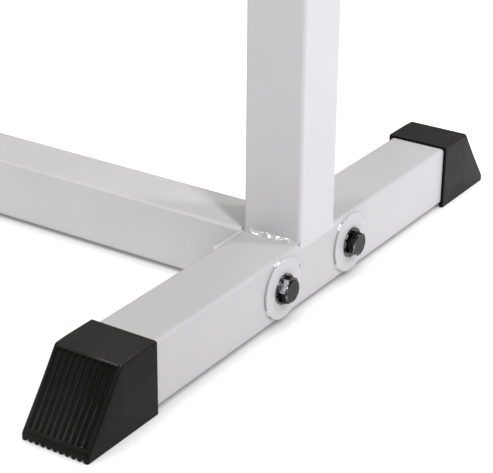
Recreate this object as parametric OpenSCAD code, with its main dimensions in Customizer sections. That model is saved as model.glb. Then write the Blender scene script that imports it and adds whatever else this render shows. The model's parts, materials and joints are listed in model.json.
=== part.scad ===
// Height-adjustable gymnastics balance beam on a steel frame.
// Two T-shaped legs are joined by a floor-level stretcher rail. A padded beam stands
// on two inner posts that telescope in the legs and are locked by spring pull pins.
// Origin: on the floor under the middle of the beam. +X runs along the beam, +Z up.
// Each leg is drawn once, with its outer side towards +X, and mirrored for the other end.

/* [Beam] */
// Length of the padded beam
beam_l = 2400; // [2200:50:2800]
// Width of the padded beam
beam_w = 100; // [96:1:120]
// Height of the padded beam section
beam_h = 130; // [110:5:150]
// Height of the beam's top above the floor at its lowest setting
top_h = 600; // [590:5:640]
// Foam thickness on the top of the core
foam_top = 12; // [8:1:20]
// Foam thickness on the sides and ends of the core
foam_side = 10; // [8:1:12]
// Thickness of the suede cover
cover_t = 1.2; // [1:0.1:2]
// Radius of the beam's upper long edges
beam_edge_r = 12; // [10:1:16]

/* [Frame] */
// Distance between the two leg centres
leg_spacing = 1800; // [1600:20:1900]
// Outer width of the square feet, posts and stretcher rail
tube_w = 50; // [50:1:52]
// Wall thickness of the square tubes
tube_t = 2; // [1.8:0.1:2.2]
// Outer corner radius of the square tubes
tube_r = 3; // [2.5:0.5:4]
// Length of a foot over both of its end caps
foot_span = 563; // [500:1:640]
// Height of a fixed post above its foot
post_h = 350; // [340:5:360]

/* [Foot caps] */
// Wall of the cap around the tube
cap_wall = 2.6; // [2:0.1:3]
// Thickness of the grooved sole under the tube
sole_t = 3.2; // [3:0.1:4]
// Length of tube that the cap covers
cap_grip = 34; // [25:1:40]
// Length of the flat top of the cap
cap_top_l = 38.5; // [36:0.5:42]
// Length of the cap along the floor
cap_sole_l = 75.5; // [70:0.5:80]
// Corner radius of the cap
cap_r = 1.5; // [1:0.5:3]
// Height of the upright toe below the sloping face
cap_toe_h = 7.4; // [6:0.1:9]
// Number of grooves across the sloping face, and across the sole
groove_count = 10; // [6:1:10]
// Distance between two grooves
groove_pitch = 5.04; // [4.6:0.02:5.1]
// Width of a groove
groove_w = 2.5; // [1.6:0.1:2.6]
// Depth of a groove
groove_d = 2; // [1:0.1:2.2]

/* [Frame bolts] */
// Distance between the two bolts that hold a foot to the rail flange
bolt_gap = 98; // [96:1:102]
// Shank diameter of the frame bolts
bolt_d = 12; // [12:1:12]
// Size across flats of the bolt heads and nuts
bolt_af = 18; // [18:1:19]
// Height of a bolt head
head_h = 6.4; // [6:0.1:7.5]
// Outer diameter of a washer
washer_d = 24; // [23:1:26]
// Thickness of a washer
washer_t = 1.5; // [1.4:0.1:2.5]
// Diameter of the welded disc around each bolt
disc_d = 47.6; // [40:0.1:48]
// Thickness of the welded disc
disc_t = 2; // [1.5:0.5:4]
// Thickness of the flange plate on the rail's end
flange_t = 3; // [3:0.5:5]
// Width of the flange plate
flange_w = 124; // [124:1:140]
// Height of the flange plate
flange_h = 47.4; // [46:0.2:50]

/* [Height adjustment] */
// Outer width of the telescoping inner post
inner_w = 40; // [39:0.5:40]
// Distance between two height settings
hole_pitch = 25; // [20:1:25]
// Number of height settings
hole_count = 7; // [5:1:7]
// Diameter of the pull pin
pin_d = 10; // [9:0.5:10]
// Diameter of the pull knob
knob_d = 32; // [28:1:36]

/* [Saddle] */
// Length of the plate under the beam
saddle_l = 170; // [160:5:200]
// Width of the plate under the beam
saddle_w = 80; // [76:1:90]
// Thickness of the plate under the beam
saddle_t = 5; // [4:0.5:6]
// Shank diameter of the screws into the core
saddle_bolt_d = 8; // [7:1:8]

/* [Hidden] */
$fn = 64;
gap = 0.3;
leg_x = leg_spacing / 2;
tube_top = sole_t + tube_w;
bolt_z = sole_t + tube_w / 2;
post_top = tube_top + post_h;
face = tube_w / 2;
bore = tube_w - 2 * tube_t;

cap_w = tube_w + 2 * cap_wall;
cap_h = tube_top + cap_wall;
cap_outer = foot_span / 2;
cap_inner = cap_outer - cap_sole_l;
foot_l = 2 * (cap_inner + cap_grip);
cap_brow = cap_inner + cap_top_l;
slope_run = cap_outer - cap_brow;
slope_rise = cap_h - cap_toe_h;
slope_l = norm([slope_run, slope_rise]);
slope_tilt = atan(slope_run / slope_rise);
groove_low = 2.2;
groove_high = 3;

sleeve_d = 20;
hole_d = bolt_d + 1;
shank_l = 70;
nut_h = 12;
nut_collar_d = 17;
chamfer_h = 1.2;
front_turn = 50;
rear_turn = 30;
weld_leg = 5;
weld_end = 2.5;
tack_leg = 2.6;
tack_spread = 16;
// Where the four tacks sit around the front and the rear disc
front_tacks = [28, 109, 211, 300];
rear_tacks = [42, 132, 215, 318];
flange_r = 3;
rail_l = leg_spacing - tube_w - 2 * flange_t;
rail_weld_leg = 4;

bushing_deep = 30;
bushing_lip = 6;
pin_z = post_top - 58;
boss_d = 28;
boss_l = 8;
neck_d = 18;
barrel_d = 20;
barrel_l = 19;
barrel_af = 24;
barrel_hex_l = 5;
chamber_d = 14;
chamber_floor = 5;
chamber_wall = 3;
rod_d = 6;
collar_t = 3;
pin_tip = face - 11;
barrel_end = face + boss_l + barrel_l;
chamber_start = face + chamber_floor;
chamber_end = barrel_end - chamber_wall;
knob_start = barrel_end + 2;
knob_l = 26;
knob_scallops = 8;
spring_wire = 1;
spring_d = 10;
spring_turns = 4.5;
spring_steps = 16;
spring_sides = 8;

inner_t = 2;
inner_r = 3;
inner_bottom = tube_top + 36.8;
glide_h = 14;
glide_lip = 6;
beam_bottom = top_h - beam_h;
saddle_z = beam_bottom - saddle_t;
gusset_l = 52;
gusset_h = 38;
gusset_t = 5;
saddle_bolt_x = 62;
saddle_bolt_y = 22;
saddle_head_h = 5.3;
saddle_af = 13;
saddle_washer_d = 16;
saddle_washer_t = 1.6;
insert_d = 11;
insert_l = 18;
saddle_shank_l = 26;

core_w = beam_w - 2 * (cover_t + foam_side);
core_l = beam_l - 2 * (cover_t + foam_side);
core_bottom = beam_bottom + cover_t;
core_top = top_h - cover_t - foam_top;
foam_w = beam_w - 2 * cover_t - 0.2;
foam_l = beam_l - 2 * cover_t - 0.2;
foam_r = beam_edge_r - cover_t;
flap_open_w = 62;
flap_open_l = beam_l - 70;
staple_l = 10;
staple_w = 1.2;
staple_h = 0.7;
staple_pitch = 60;
staple_y = flap_open_w / 2 + 7;

paint = "#e4e2e8";
cap_black = "#2b2c2b";
bolt_black = "#1d1e20";
zinc = "#a9adb2";
wood = "#c9a46f";
foam_blue = "#8fa7b8";
suede = "#b88a5a";
nylon = "#242628";

// ---- placing ----

// A leg's own frame, put at the right end (side = 1) or mirrored to the left end (side = -1)
module at_leg(side) {
    mirror([side < 0 ? 1 : 0, 0, 0])
        translate([leg_x, 0, 0])
            children();
}

// Turns a shape drawn in X-Y and raised in Z so that it faces along +X: x becomes Y, y becomes Z
module facing_x() {
    rotate([90, 0, 90]) children();
}

// Repeats a shape at the two frame bolts of a leg
module at_frame_bolts() {
    for (s = [-1, 1])
        translate([0, s * bolt_gap / 2, bolt_z]) children();
}

// Repeats a shape at the four screws of a saddle plate
module at_saddle_bolts() {
    for (x = [-saddle_bolt_x, saddle_bolt_x], y = [-saddle_bolt_y, saddle_bolt_y])
        translate([x, y, 0]) children();
}

// ---- shared shapes ----

// Rectangle with true arcs in its corners
module round_rect(w, h, r) {
    square([w - 2 * r, h], center = true);
    square([w, h - 2 * r], center = true);
    for (x = [-1, 1], y = [-1, 1])
        translate([x * (w / 2 - r), y * (h / 2 - r)]) circle(r);
}

// Section of a square tube
module tube_section(w, t, r) {
    difference() {
        round_rect(w, w, r);
        round_rect(w - 2 * t, w - 2 * t, max(r - t, 0.6));
    }
}

// Hexagonal prism standing on Z = 0, with one flat facing +Y
module hexagon(af, h) {
    cylinder(d = af / cos(30), h = h, $fn = 6);
}

// Hexagonal bolt head whose outer corners are chamfered
module hex_head(af, h, chamfer) {
    corner_r = af / 2 / cos(30);
    intersection() {
        hexagon(af, h);
        union() {
            cylinder(r = corner_r + 1, h = h - chamfer);
            translate([0, 0, h - chamfer])
                cylinder(r1 = corner_r, r2 = af / 2 - 0.6, h = chamfer);
        }
    }
}

// Flat ring standing on Z = 0
module ring(d_out, d_in, h) {
    difference() {
        cylinder(d = d_out, h = h);
        translate([0, 0, -1]) cylinder(d = d_in, h = h + 2);
    }
}

// Triangular weld bead along X, in the corner between a floor (Z = 0) and a wall (Y = 0)
module fillet_bead(leg, l) {
    translate([-l / 2, 0, 0])
        rotate([90, 0, 90])
            linear_extrude(l)
                polygon([[0, 0], [-leg, 0], [-leg * 0.62, leg * 0.5], [-leg * 0.38, leg * 0.76], [0, leg]]);
}

// ---- floor frame ----

// Floor tube of a leg, with holes for the bolts and their sleeves
module foot_tube(side) {
    color(paint) at_leg(side) difference() {
        translate([0, foot_l / 2, bolt_z])
            rotate([90, 0, 0]) linear_extrude(foot_l) tube_section(tube_w, tube_t, tube_r);
        at_frame_bolts() {
            translate([-tube_w, 0, 0]) facing_x() cylinder(d = hole_d, h = 2 * tube_w);
            facing_x() cylinder(d = sleeve_d + 0.1, h = tube_w);
        }
    }
}

// Fixed post welded on the middle of the foot, with the hole for the pull pin
module post(side) {
    color(paint) at_leg(side) difference() {
        translate([0, 0, tube_top]) linear_extrude(post_h) tube_section(tube_w, tube_t, tube_r);
        translate([0, 0, pin_z]) facing_x() cylinder(d = pin_d + 0.5, h = tube_w);
    }
}

// Weld beads along the front and the rear of the post's base
module post_welds(side) {
    color(paint) at_leg(side)
        for (turn = [0, 180])
            rotate([0, 0, turn])
                translate([0, -face, tube_top]) fillet_bead(weld_leg, tube_w - 2 * (tube_r + weld_end));
}

// One row of round-bottomed grooves in the cap's sole
module sole_grooves() {
    for (i = [0 : groove_count - 1])
        translate([(i - (groove_count - 1) / 2) * groove_pitch, cap_inner - 1, 0]) {
            translate([0, 0, groove_d - groove_w / 2])
                rotate([-90, 0, 0]) cylinder(d = groove_w, h = cap_sole_l + 2);
            translate([-groove_w / 2, 0, -1])
                cube([groove_w, cap_sole_l + 2, groove_d - groove_w / 2 + 1]);
        }
}

// The row of upright grooves in the cap's sloping face
module slope_grooves() {
    for (i = [0 : groove_count - 1])
        translate([(i - (groove_count - 1) / 2) * groove_pitch, cap_outer, cap_toe_h])
            rotate([slope_tilt, 0, 0])
                translate([-groove_w / 2, -groove_d, groove_low])
                    cube([groove_w, 2 * groove_d, slope_l - groove_low - groove_high]);
}

// Slip-on rubber cap with a sloping toe and a grooved sole; end = 1 is the rear, -1 the front
module foot_cap(side, end) {
    color(cap_black) at_leg(side) mirror([0, end < 0 ? 1 : 0, 0]) difference() {
        intersection() {
            translate([-cap_w / 2, 0, 0]) facing_x() linear_extrude(cap_w)
                polygon([[cap_inner, 0], [cap_outer, 0], [cap_outer, cap_toe_h],
                         [cap_brow, cap_h], [cap_inner, cap_h]]);
            translate([0, cap_outer, cap_h / 2])
                rotate([90, 0, 0]) linear_extrude(cap_sole_l) round_rect(cap_w, cap_h, cap_r);
        }
        translate([0, foot_l / 2, bolt_z])
            rotate([90, 0, 0]) linear_extrude(foot_l) round_rect(tube_w + 0.2, tube_w + 0.2, tube_r);
        sole_grooves();
        slope_grooves();
    }
}

// Discs welded on the foot's outer face around the bolts
module bolt_discs(side) {
    color(paint) at_leg(side) at_frame_bolts()
        translate([face, 0, 0]) facing_x() ring(disc_d, hole_d, disc_t);
}

// Tack welds around the rims of the discs
module disc_tacks(side) {
    color(paint) at_leg(side)
        for (s = [-1, 1], a = s < 0 ? front_tacks : rear_tacks)
            translate([face, s * bolt_gap / 2, bolt_z]) facing_x()
                rotate([0, 0, a - tack_spread / 2])
                    rotate_extrude(angle = tack_spread)
                        polygon([[disc_d / 2, 0], [disc_d / 2 + tack_leg, 0], [disc_d / 2, disc_t]]);
}

// Sleeves inside the foot that keep the bolts from crushing it
module crush_sleeves(side) {
    color(zinc) at_leg(side) at_frame_bolts()
        translate([-face + tube_t, 0, 0]) facing_x() ring(sleeve_d, hole_d, tube_w - tube_t);
}

// Floor-level rail between the two legs
module stretcher_rail() {
    color(paint) translate([-rail_l / 2, 0, bolt_z])
        facing_x() linear_extrude(rail_l) tube_section(tube_w, tube_t, tube_r);
}

// Plate on the rail's end that is bolted to the foot
module rail_flange(side) {
    color(paint) at_leg(side) difference() {
        translate([-face - flange_t, 0, bolt_z])
            facing_x() linear_extrude(flange_t) round_rect(flange_w, flange_h, flange_r);
        at_frame_bolts() translate([-tube_w, 0, 0]) facing_x() cylinder(d = hole_d, h = tube_w);
    }
}

// Upright weld beads between the rail's sides and its flange
module rail_welds(side) {
    color(paint) at_leg(side)
        for (s = [0, 1])
            mirror([0, s, 0])
                translate([-face - flange_t, -face, bolt_z])
                    rotate([0, -90, 0]) fillet_bead(rail_weld_leg, tube_w - 2 * (tube_r + 1));
}

// ---- frame fasteners ----

// Hexagon bolts through foot and flange, put in from the outside
module frame_bolts(side) {
    color(bolt_black) at_leg(side)
        for (s = [-1, 1])
            translate([face + disc_t + washer_t, s * bolt_gap / 2, bolt_z]) facing_x() {
                rotate([0, 0, s < 0 ? front_turn : rear_turn]) hex_head(bolt_af, head_h, chamfer_h);
                translate([0, 0, -shank_l]) cylinder(d = bolt_d, h = shank_l);
            }
}

// One washer under each head and one under each nut
module bolt_washers(side) {
    color(bolt_black) at_leg(side) at_frame_bolts() {
        translate([face + disc_t, 0, 0]) facing_x() ring(washer_d, bolt_d + 0.4, washer_t);
        translate([-face - flange_t - washer_t, 0, 0])
            facing_x() ring(washer_d, bolt_d + 0.4, washer_t);
    }
}

// Self-locking nuts on the flange's inner side
module lock_nuts(side) {
    color(bolt_black) at_leg(side) at_frame_bolts()
        translate([-face - flange_t - washer_t, 0, 0])
            rotate([0, 0, 180]) facing_x() difference() {
                union() {
                    hex_head(bolt_af, nut_h - 3, chamfer_h);
                    cylinder(d = nut_collar_d, h = nut_h);
                }
                translate([0, 0, -1]) cylinder(d = bolt_d + 0.1, h = nut_h + 2);
            }
}

// ---- height adjustment ----

// Plastic guide in the top of the post, with a lip that covers the tube's edge
module post_bushing(side) {
    color(nylon) at_leg(side) translate([0, 0, post_top]) difference() {
        union() {
            translate([0, 0, -bushing_deep])
                linear_extrude(bushing_deep) round_rect(bore - 0.1, bore - 0.1, tube_r - tube_t);
            linear_extrude(bushing_lip) round_rect(tube_w, tube_w, tube_r);
        }
        translate([0, 0, -bushing_deep - 1]) linear_extrude(bushing_deep + bushing_lip + 2)
            round_rect(inner_w + 2 * gap, inner_w + 2 * gap, inner_r);
    }
}

// Threaded ring welded on the post around the pin hole
module pin_boss(side) {
    color(paint) at_leg(side) translate([face, 0, pin_z])
        facing_x() ring(boss_d, neck_d + 0.1, boss_l);
}

// Barrel that is screwed into the boss and holds the pin and its spring
module pin_barrel(side) {
    color(zinc) at_leg(side) translate([0, 0, pin_z]) difference() {
        union() {
            translate([face, 0, 0]) facing_x() cylinder(d = neck_d, h = boss_l + 1);
            translate([face + boss_l, 0, 0]) facing_x() hexagon(barrel_af, barrel_hex_l);
            translate([face + boss_l, 0, 0]) facing_x() cylinder(d = barrel_d, h = barrel_l);
        }
        translate([face - 1, 0, 0]) facing_x() cylinder(d = pin_d + 0.5, h = chamber_floor + 2);
        translate([chamber_start, 0, 0])
            facing_x() cylinder(d = chamber_d, h = chamber_end - chamber_start);
        translate([chamber_end - 1, 0, 0])
            facing_x() cylinder(d = rod_d + 0.5, h = chamber_wall + 2);
    }
}

// Sliding pin: the stout end locks the inner post, the collar takes the spring, the rod the knob
module lock_pin(side) {
    color(zinc) at_leg(side) translate([pin_tip, 0, pin_z]) facing_x() {
        cylinder(d1 = pin_d - 2, d2 = pin_d, h = 1.5);
        translate([0, 0, 1.5]) cylinder(d = pin_d, h = chamber_start - pin_tip - 1);
        translate([0, 0, chamber_start - pin_tip + 0.1]) cylinder(d = chamber_d - 0.6, h = collar_t);
        cylinder(d = rod_d, h = knob_start + knob_l * 0.7 - pin_tip);
    }
}

// Point on the spring's centre line after a share of its length
function spring_at(share) = [
    spring_d / 2 * cos(360 * spring_turns * share),
    spring_d / 2 * sin(360 * spring_turns * share),
    share * (spring_l - spring_wire) + spring_wire / 2
];
spring_start = chamber_start + collar_t + 0.2;
spring_l = chamber_end - spring_start - 0.1;
spring_rings = floor(spring_turns * spring_steps);

// Coil spring between the pin's collar and the end of the barrel
module pin_spring(side) {
    points = [
        for (i = [0 : spring_rings], k = [0 : spring_sides - 1])
            let (turn = 360 * spring_turns * i / spring_rings, a = 360 * k / spring_sides)
            spring_at(i / spring_rings)
                + spring_wire / 2 * [cos(a) * cos(turn), cos(a) * sin(turn), sin(a)]
    ];
    sides = [
        for (i = [0 : spring_rings - 1], k = [0 : spring_sides - 1])
            let (n = (k + 1) % spring_sides)
            [i * spring_sides + k, (i + 1) * spring_sides + k,
             (i + 1) * spring_sides + n, i * spring_sides + n]
    ];
    first = [for (k = [0 : spring_sides - 1]) k];
    last = [for (k = [spring_sides - 1 : -1 : 0]) spring_rings * spring_sides + k];
    color(zinc) at_leg(side) translate([spring_start, 0, pin_z])
        facing_x() polyhedron(points, concat(sides, [first, last]));
}

// Round knob with finger scallops on the pin's outer end
module pin_knob(side) {
    color(nylon) at_leg(side) translate([knob_start, 0, pin_z]) facing_x() difference() {
        rotate_extrude() {
            square([knob_d * 0.28, knob_l * 0.5]);
            translate([0, knob_l * 0.34]) square([knob_d / 2, knob_l * 0.66 - 4]);
            translate([0, knob_l * 0.34]) square([knob_d / 2 - 4, knob_l * 0.66]);
            translate([knob_d / 2 - 4, knob_l - 4]) circle(4);
        }
        for (i = [0 : knob_scallops - 1])
            rotate([0, 0, i * 360 / knob_scallops])
                translate([knob_d / 2 + 3.2, 0, knob_l * 0.34 - 1]) cylinder(r = 4.6, h = knob_l);
        translate([0, 0, -1]) cylinder(d = rod_d + 0.1, h = knob_l * 0.7 + 1);
    }
}

// Telescoping inner post with the row of height holes
module inner_post(side) {
    color(paint) at_leg(side) difference() {
        translate([0, 0, inner_bottom])
            linear_extrude(saddle_z - inner_bottom) tube_section(inner_w, inner_t, inner_r);
        for (i = [0 : hole_count - 1])
            translate([0, 0, pin_z - i * hole_pitch]) facing_x() cylinder(d = pin_d + 1, h = inner_w);
    }
}

// Plastic glide plugged into the inner post's lower end
module inner_glide(side) {
    plug_w = inner_w - 2 * inner_t - 0.1;
    color(nylon) at_leg(side) translate([0, 0, inner_bottom]) difference() {
        union() {
            translate([0, 0, -glide_lip])
                linear_extrude(glide_lip) round_rect(bore - 2 * gap, bore - 2 * gap, 2);
            linear_extrude(glide_h) round_rect(plug_w, plug_w, 1);
        }
        translate([0, 0, -glide_lip - 1]) linear_extrude(glide_h + glide_lip + 2)
            round_rect(plug_w - 6, plug_w - 6, 2);
    }
}

// ---- saddles ----

// Plate on top of the inner post that carries the beam
module saddle_plate(side) {
    color(paint) at_leg(side) translate([0, 0, saddle_z]) difference() {
        linear_extrude(saddle_t) round_rect(saddle_l, saddle_w, 8);
        at_saddle_bolts() translate([0, 0, -1]) cylinder(d = saddle_bolt_d + 1, h = saddle_t + 2);
    }
}

// Triangular stiffeners between the inner post and the saddle plate
module saddle_gussets(side) {
    color(paint) at_leg(side)
        for (turn = [0, 180])
            rotate([0, 0, turn]) translate([inner_w / 2, gusset_t / 2, saddle_z])
                rotate([90, 0, 0]) linear_extrude(gusset_t)
                    polygon([[0, 0], [gusset_l, 0], [gusset_l, -6], [8, -gusset_h], [0, -gusset_h]]);
}

// Screws from below through the saddle plate into the core
module saddle_bolts(side) {
    color(bolt_black) at_leg(side) at_saddle_bolts()
        translate([0, 0, saddle_z - saddle_washer_t]) {
            mirror([0, 0, 1]) hex_head(saddle_af, saddle_head_h, 0.9);
            cylinder(d = saddle_bolt_d, h = saddle_shank_l);
        }
}

// Washers under the saddle screws' heads
module saddle_washers(side) {
    color(bolt_black) at_leg(side) at_saddle_bolts()
        translate([0, 0, saddle_z - saddle_washer_t])
            ring(saddle_washer_d, saddle_bolt_d + 0.4, saddle_washer_t);
}

// Threaded steel inserts set in the core's underside
module threaded_inserts(side) {
    color(zinc) at_leg(side) at_saddle_bolts()
        translate([0, 0, core_bottom]) ring(insert_d, saddle_bolt_d + 0.1, insert_l);
}

// ---- padded beam ----

// Outline of the padding: square below, round along the two upper edges
module beam_section(w, h, r) {
    translate([-w / 2, 0]) square([w, h - r]);
    translate([-w / 2 + r, 0]) square([w - 2 * r, h]);
    for (s = [-1, 1]) translate([s * (w / 2 - r), h - r]) circle(r);
}

// Laminated wooden core, bored for the threaded inserts
module beam_core() {
    color(wood) difference() {
        translate([-core_l / 2, -core_w / 2, core_bottom])
            cube([core_l, core_w, core_top - core_bottom]);
        for (side = [-1, 1]) at_leg(side) at_saddle_bolts()
            translate([0, 0, core_bottom - 1]) cylinder(d = insert_d + 0.1, h = insert_l + 9);
    }
}

// Foam over the top and the two sides of the core
module beam_foam() {
    color(foam_blue) difference() {
        translate([-core_l / 2, 0, core_bottom]) facing_x() linear_extrude(core_l)
            beam_section(foam_w, top_h - cover_t - 0.1 - core_bottom, foam_r);
        translate([-core_l / 2 - 1, -core_w / 2, core_bottom - 1])
            cube([core_l + 2, core_w, core_top - core_bottom + 1]);
    }
}

// Foam pad over an end of the core
module end_foam(side) {
    pad_t = (foam_l - core_l) / 2;
    color(foam_blue) mirror([side < 0 ? 1 : 0, 0, 0]) translate([core_l / 2, 0, core_bottom])
        facing_x() linear_extrude(pad_t)
            beam_section(foam_w, top_h - cover_t - 0.1 - core_bottom, foam_r);
}

// Suede cover, closed at the ends and turned under along the bottom
module beam_cover() {
    color(suede) difference() {
        translate([-beam_l / 2, 0, beam_bottom]) facing_x() linear_extrude(beam_l)
            beam_section(beam_w, beam_h, beam_edge_r);
        translate([-beam_l / 2 + cover_t, 0, core_bottom])
            facing_x() linear_extrude(beam_l - 2 * cover_t)
                beam_section(beam_w - 2 * cover_t, beam_h - 2 * cover_t, beam_edge_r - cover_t);
        translate([-flap_open_l / 2, -flap_open_w / 2, beam_bottom - 1])
            cube([flap_open_l, flap_open_w, cover_t + 2]);
    }
}

// Staples that hold the turned-under cover, left out where the saddle plates are
module cover_staples() {
    rows = floor((flap_open_l / 2 - 20) / staple_pitch);
    color(zinc)
        for (i = [-rows : rows], s = [-1, 1])
            if (abs(abs(i * staple_pitch) - leg_x) > saddle_l / 2 + staple_l)
                translate([i * staple_pitch, s * staple_y, beam_bottom - staple_h / 2])
                    cube([staple_l, staple_w, staple_h], center = true);
}

foot_tube(1);  // foot_tube_right
foot_tube(-1);  // foot_tube_left
post(1);  // post_right
post(-1);  // post_left
foot_cap(1, -1);  // foot_cap_front_right
foot_cap(1, 1);  // foot_cap_rear_right
foot_cap(-1, -1);  // foot_cap_front_left
foot_cap(-1, 1);  // foot_cap_rear_left
bolt_discs(1);  // bolt_discs_right
bolt_discs(-1);  // bolt_discs_left
crush_sleeves(1);  // crush_sleeves_right
crush_sleeves(-1);  // crush_sleeves_left
post_welds(1);  // post_welds_right
post_welds(-1);  // post_welds_left
disc_tacks(1);  // disc_tacks_right
disc_tacks(-1);  // disc_tacks_left
stretcher_rail();
rail_flange(1);  // rail_flange_right
rail_flange(-1);  // rail_flange_left
rail_welds(1);  // rail_welds_right
rail_welds(-1);  // rail_welds_left
frame_bolts(1);  // frame_bolts_right
frame_bolts(-1);  // frame_bolts_left
bolt_washers(1);  // bolt_washers_right
bolt_washers(-1);  // bolt_washers_left
lock_nuts(1);  // lock_nuts_right
lock_nuts(-1);  // lock_nuts_left
post_bushing(1);  // post_bushing_right
post_bushing(-1);  // post_bushing_left
pin_boss(1);  // pin_boss_right
pin_boss(-1);  // pin_boss_left
pin_barrel(1);  // pin_barrel_right
pin_barrel(-1);  // pin_barrel_left
pin_spring(1);  // pin_spring_right
pin_spring(-1);  // pin_spring_left
lock_pin(1);  // lock_pin_right
lock_pin(-1);  // lock_pin_left
pin_knob(1);  // pin_knob_right
pin_knob(-1);  // pin_knob_left
inner_post(1);  // inner_post_right
inner_post(-1);  // inner_post_left
inner_glide(1);  // inner_glide_right
inner_glide(-1);  // inner_glide_left
saddle_plate(1);  // saddle_plate_right
saddle_plate(-1);  // saddle_plate_left
saddle_gussets(1);  // saddle_gussets_right
saddle_gussets(-1);  // saddle_gussets_left
saddle_bolts(1);  // saddle_bolts_right
saddle_bolts(-1);  // saddle_bolts_left
saddle_washers(1);  // saddle_washers_right
saddle_washers(-1);  // saddle_washers_left
threaded_inserts(1);  // threaded_inserts_right
threaded_inserts(-1);  // threaded_inserts_left
beam_core();
beam_foam();
end_foam(1);  // end_foam_right
end_foam(-1);  // end_foam_left
beam_cover();
cover_staples();
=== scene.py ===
import json
import math

import bmesh
import bpy
from mathutils import Matrix, Vector, kdtree, noise
from mathutils.bvhtree import BVHTree


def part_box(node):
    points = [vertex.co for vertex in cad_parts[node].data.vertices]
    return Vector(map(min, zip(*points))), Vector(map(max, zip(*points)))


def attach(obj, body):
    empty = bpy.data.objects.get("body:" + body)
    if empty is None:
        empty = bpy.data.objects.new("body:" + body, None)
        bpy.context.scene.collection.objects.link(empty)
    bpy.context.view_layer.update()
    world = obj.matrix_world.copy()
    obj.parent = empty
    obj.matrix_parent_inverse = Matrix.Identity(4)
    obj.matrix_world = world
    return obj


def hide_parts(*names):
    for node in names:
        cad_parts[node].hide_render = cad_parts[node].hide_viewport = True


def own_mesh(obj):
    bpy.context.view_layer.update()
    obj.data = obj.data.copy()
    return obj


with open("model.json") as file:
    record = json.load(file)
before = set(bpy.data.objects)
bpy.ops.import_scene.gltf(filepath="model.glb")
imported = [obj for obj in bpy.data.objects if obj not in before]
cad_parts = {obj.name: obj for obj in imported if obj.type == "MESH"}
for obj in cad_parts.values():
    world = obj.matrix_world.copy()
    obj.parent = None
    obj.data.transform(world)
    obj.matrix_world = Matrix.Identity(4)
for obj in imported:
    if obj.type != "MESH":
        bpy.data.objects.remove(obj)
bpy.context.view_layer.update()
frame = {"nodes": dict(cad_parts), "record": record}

MM = 0.001
ENDS = ("right", "left")

# ---- measures taken from the frame ----

foot_lo, foot_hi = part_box("foot_tube_right")
rail_lo, rail_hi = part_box("stretcher_rail")
TUBE_W = foot_hi.x - foot_lo.x
TUBE_TOP = foot_hi.z
LEG_X = (foot_lo.x + foot_hi.x) / 2


# ---- camera, light and floor ----

WORLD_LIGHT = 0.12
FLOOR_HALF = 12
FLOOR_GLOW_FRONT = 0.92
FLOOR_GLOW_BACK = 1.26
SENSOR_W = 36
LENS = 119.056
CAMERA_YAW = 33.23
CAMERA_PITCH = 24.99
CAMERA_ROLL = -0.566
CAMERA_FROM_CORNER = Vector((564.26, -958.49, 515.28)) * MM
# name, azimuth, elevation, distance, (width, height), power, colour
LIGHTS = (
    ("key_front", -31, 46, 4.0, (0.47, 0.67), 70, (1.0, 0.975, 1.03)),
    ("key_front_low", -31, 24, 4.0, (0.47, 0.50), 10, (1.0, 0.975, 1.03)),
    ("key_rear", 27, 44, 1.6, (0.19, 0.27), 7.2, (1.0, 0.965, 1.05)),
    ("overhead", 90, 88, 2.6, (2.6, 2.6), 46, (1.0, 1.005, 0.96)),
    ("side_fill", 55, 18, 2.5, (1.2, 1.2), 4, (1.0, 0.95, 1.10)),
    ("left_fill", -129, 41, 2.5, (0.30, 0.30), 11, (1.0, 1.0, 0.95)),
)


def add_camera():
    """Close view of the right foot, from outside and in front."""
    yaw, pitch, roll = (math.radians(v) for v in (CAMERA_YAW, CAMERA_PITCH, CAMERA_ROLL))
    corner = Vector((foot_hi.x, 0, TUBE_TOP))
    data = bpy.data.cameras.new("camera")
    data.sensor_fit = "HORIZONTAL"
    data.sensor_width = SENSOR_W
    data.lens = LENS
    data.clip_start = 0.01
    data.clip_end = 100
    camera = bpy.data.objects.new("camera", data)
    bpy.context.collection.objects.link(camera)
    forward = Vector((-math.sin(yaw) * math.cos(pitch), math.cos(yaw) * math.cos(pitch), -math.sin(pitch)))
    right = Vector((math.cos(yaw), math.sin(yaw), 0))
    down = forward.cross(right)
    right_rolled = math.cos(roll) * right + math.sin(roll) * down
    down_rolled = math.cos(roll) * down - math.sin(roll) * right
    turn = Matrix((right_rolled, -down_rolled, -forward)).transposed()
    camera.matrix_world = Matrix.Translation(corner + CAMERA_FROM_CORNER) @ turn.to_4x4()
    bpy.context.scene.camera = camera


def aim(obj, target):
    """Turns a light so that it shines at a point."""
    obj.rotation_euler = (Vector(target) - obj.location).to_track_quat("-Z", "Y").to_euler()


def add_area_light(name, azimuth, elevation, distance, size, power, colour):
    """Soft box aimed at the foot of the right post; azimuth is measured from +X towards +Y."""
    data = bpy.data.lights.new(name, "AREA")
    data.shape = "RECTANGLE"
    data.size, data.size_y = size
    data.energy = power
    data.color = colour
    light = bpy.data.objects.new(name, data)
    bpy.context.collection.objects.link(light)
    a = math.radians(azimuth)
    e = math.radians(elevation)
    centre = Vector((LEG_X, 0, TUBE_TOP))
    way = Vector((math.cos(a) * math.cos(e), math.sin(a) * math.cos(e), math.sin(e)))
    light.location = centre + distance * way
    aim(light, centre)


def add_world(strength):
    """Even white light from all round."""
    world = bpy.data.worlds.new("studio")
    bpy.context.scene.world = world
    world.use_nodes = True
    background = world.node_tree.nodes["Background"]
    background.inputs["Color"].default_value = (1, 1, 1, 1)
    background.inputs["Strength"].default_value = strength


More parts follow.
